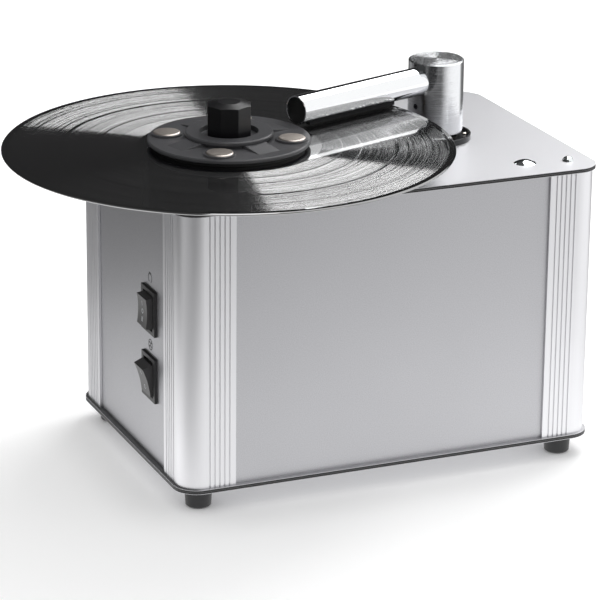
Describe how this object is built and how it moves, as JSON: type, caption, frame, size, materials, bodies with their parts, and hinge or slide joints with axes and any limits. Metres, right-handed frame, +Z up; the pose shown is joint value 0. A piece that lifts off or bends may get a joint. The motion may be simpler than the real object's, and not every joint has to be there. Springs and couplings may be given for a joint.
{
  "type": "record cleaning machine",
  "caption": "Boxy metal-clad machine that turns a clamped vinyl record on a platter and dries it with a swinging suction arm over a waste tank and blower.",
  "frame": {"origin": "on the floor under the middle of the whole outline, record included", "axes": "+Z up, +X to the right seen from the large front panel, +Y to the back"},
  "size_m": [0.4102, 0.3178, 0.2739],
  "materials": {
    "plate_skin": "fine-grained satin anodised sheet",
    "plate_core": "black plastic core, sawn edge",
    "post_alu": "satin anodised extrusion",
    "panel_alu": "satin silver sheet with a fine speckle",
    "foot_rubber": "moulded, slightly tapered",
    "steel": "zinc plated",
    "bronze": "turned",
    "ground_steel": "ground shaft",
    "platter_black": "moulded",
    "mat_rubber": "thin sheet",
    "vinyl": "pressed, grooved, glossy",
    "drive_metal": "grey",
    "clamp_black": "satin moulded",
    "clamp_rubber": "soft ring",
    "weight_nickel": "nickel plated, warm",
    "knob_black": "fine satin",
    "dish_black": "satin black",
    "column_alu": "turned, brushed round",
    "tube_chrome": "mirror polished",
    "pad_felt": "short pile",
    "tank_plastic": "natural",
    "plug_chrome": "polished",
    "blower_black": "moulded",
    "impeller_alu": "bare",
    "switch_black": "fine matt",
    "rocker_black": "fine matt",
    "board_green": "solder mask",
    "wire_black": "sleeved"
  },
  "bodies": {
    "case": {"top_plate_core": "plate_core", "bottom_plate_core": "plate_core", "top_plate_skins": "plate_skin", "bottom_plate_skins": "plate_skin", "post_front_left": "post_alu", "post_front_right": "post_alu", "post_back_left": "post_alu", "post_back_right": "post_alu", "front_panel": "panel_alu", "back_panel": "panel_alu", "left_panel": "panel_alu", "right_panel": "panel_alu", "feet": "foot_rubber", "foot_screws": "steel", "post_screws": "steel", "spindle_bearing": "bronze", "gearmotor": "drive_metal", "motor_bracket": "steel", "bracket_standoffs": "steel", "arm_flange": "dish_black", "flange_screws": "weight_nickel", "arm_bush": "bronze", "arm_spring": "steel", "waste_tank": "tank_plastic", "tank_lid": "tank_plastic", "air_riser": "tank_plastic", "blower_housing": "blower_black", "blower_motor": "drive_metal", "blower_mount": "foot_rubber", "exhaust_grille": "blower_black", "motor_switch_housing": "switch_black", "vacuum_switch_housing": "switch_black", "power_inlet": "switch_black", "control_board": "board_green", "wiring_loom": "wire_black"},
    "platter": {"spindle": "ground_steel", "platter": "platter_black", "platter_mat": "mat_rubber", "record": "vinyl", "shaft_coupling": "steel", "gear_shaft": "ground_steel"},
    "clamp": {"clamp_disc": "clamp_black", "clamp_gasket": "clamp_rubber", "clamp_hub": "clamp_black", "clamp_weights": "weight_nickel"},
    "knob": {"clamp_knob": "knob_black", "knob_insert": "bronze"},
    "sleeve": {"lift_sleeve": "ground_steel"},
    "arm": {"arm_column": "column_alu", "grub_screw": "steel", "suction_tube": "tube_chrome", "tube_end_plug": "switch_black", "suction_pads": "pad_felt"},
    "drain_plug": {"drain_plug": "plug_chrome", "drain_seals": "clamp_rubber"},
    "vent_plug": {"vent_plug": "plug_chrome"},
    "impeller": {"impeller": "impeller_alu"},
    "motor_rocker": {"motor_rocker": "rocker_black"},
    "vacuum_rocker": {"vacuum_rocker": "rocker_black"}
  },
  "joints": [
    {"name": "platter_spin", "type": "hinge", "parent": "case", "child": "platter", "pos_m": [-0.05437, -0.00813, 0.235], "axis": [0, 0, 1], "continuous": true},
    {"name": "clamp_lift", "type": "slide", "parent": "platter", "child": "clamp", "axis": [0, 0, 1], "range_m": [0, 0.03]},
    {"name": "knob_turn", "type": "hinge", "parent": "clamp", "child": "knob", "pos_m": [-0.05437, -0.00813, 0.262], "axis": [0, 0, 1], "range_deg": [0, 720]},
    {"name": "arm_lift", "type": "slide", "parent": "case", "child": "sleeve", "axis": [0, 0, 1], "range_m": [-0.0018, 0], "stiffness_N_per_m": 900, "springref_m": 0.012, "deforming": ["arm_spring"]},
    {"name": "arm_swing", "type": "hinge", "parent": "sleeve", "child": "arm", "pos_m": [0.12632, 0.05518, 0.24], "axis": [0, 0, 1], "range_deg": [-115, 0]},
    {"name": "drain_plug_pull", "type": "slide", "parent": "case", "child": "drain_plug", "axis": [0, 0, 1], "range_m": [0, 0.025]},
    {"name": "vent_plug_pull", "type": "slide", "parent": "case", "child": "vent_plug", "axis": [0, 0, 1], "range_m": [0, 0.025]},
    {"name": "impeller_spin", "type": "hinge", "parent": "case", "child": "impeller", "pos_m": [0.15013, 0.10387, 0.08], "axis": [0, 0, 1], "continuous": true},
    {"name": "motor_rocker_tilt", "type": "hinge", "parent": "case", "child": "motor_rocker", "pos_m": [-0.10088, 0.01887, 0.125], "axis": [0, 1, 0], "range_deg": [-15, 15]},
    {"name": "vacuum_rocker_tilt", "type": "hinge", "parent": "case", "child": "vacuum_rocker", "pos_m": [-0.10088, 0.01887, 0.077], "axis": [0, 1, 0], "range_deg": [0, 30]}
  ]
}
